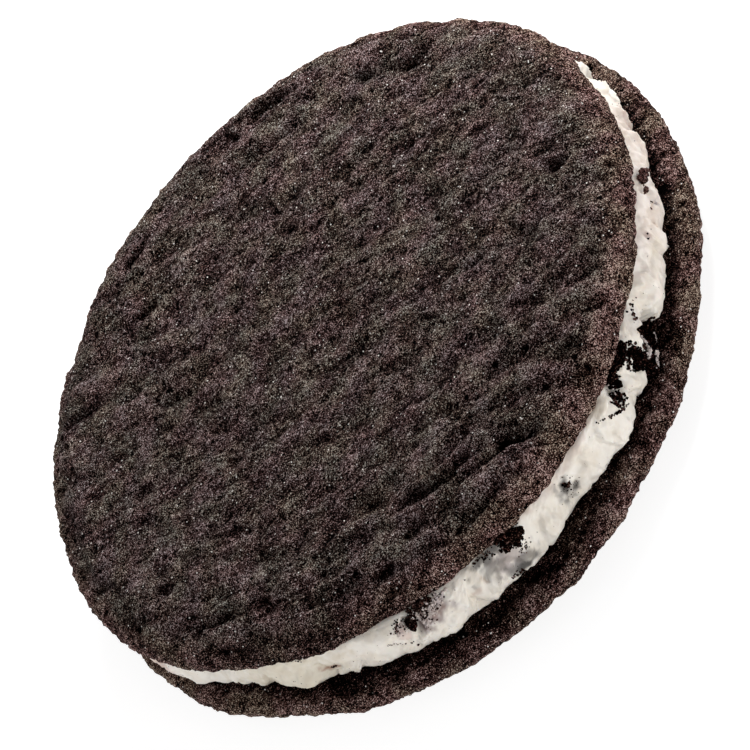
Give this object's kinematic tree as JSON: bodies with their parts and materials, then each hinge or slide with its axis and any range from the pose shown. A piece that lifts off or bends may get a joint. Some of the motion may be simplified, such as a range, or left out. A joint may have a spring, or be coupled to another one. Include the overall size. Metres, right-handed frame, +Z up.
{
  "type": "chocolate sandwich cookie",
  "caption": "Round sandwich of soft-baked dark chocolate cookies around a thick, uneven layer of pale cream with crushed cookie pieces in it.",
  "frame": {"origin": "on the surface the cookie rests on, under the middle of the upper cookie", "axes": "+Z up through the layers, the upper cookie's baked face on top; -Y towards the side where most of the cream shows"},
  "size_m": [0.0943, 0.0933, 0.0182],
  "materials": {
    "chocolate_cookie": "dry, sandy dark cocoa crumb with small pores and fine sugar grains",
    "cream": "soft off-white cream, slightly moist, with dark cookie crumbs and smears"
  },
  "bodies": {
    "root": {"bottom_cookie": "chocolate_cookie", "cream_filling": "cream", "top_cookie": "chocolate_cookie"}
  },
  "joints": []
}
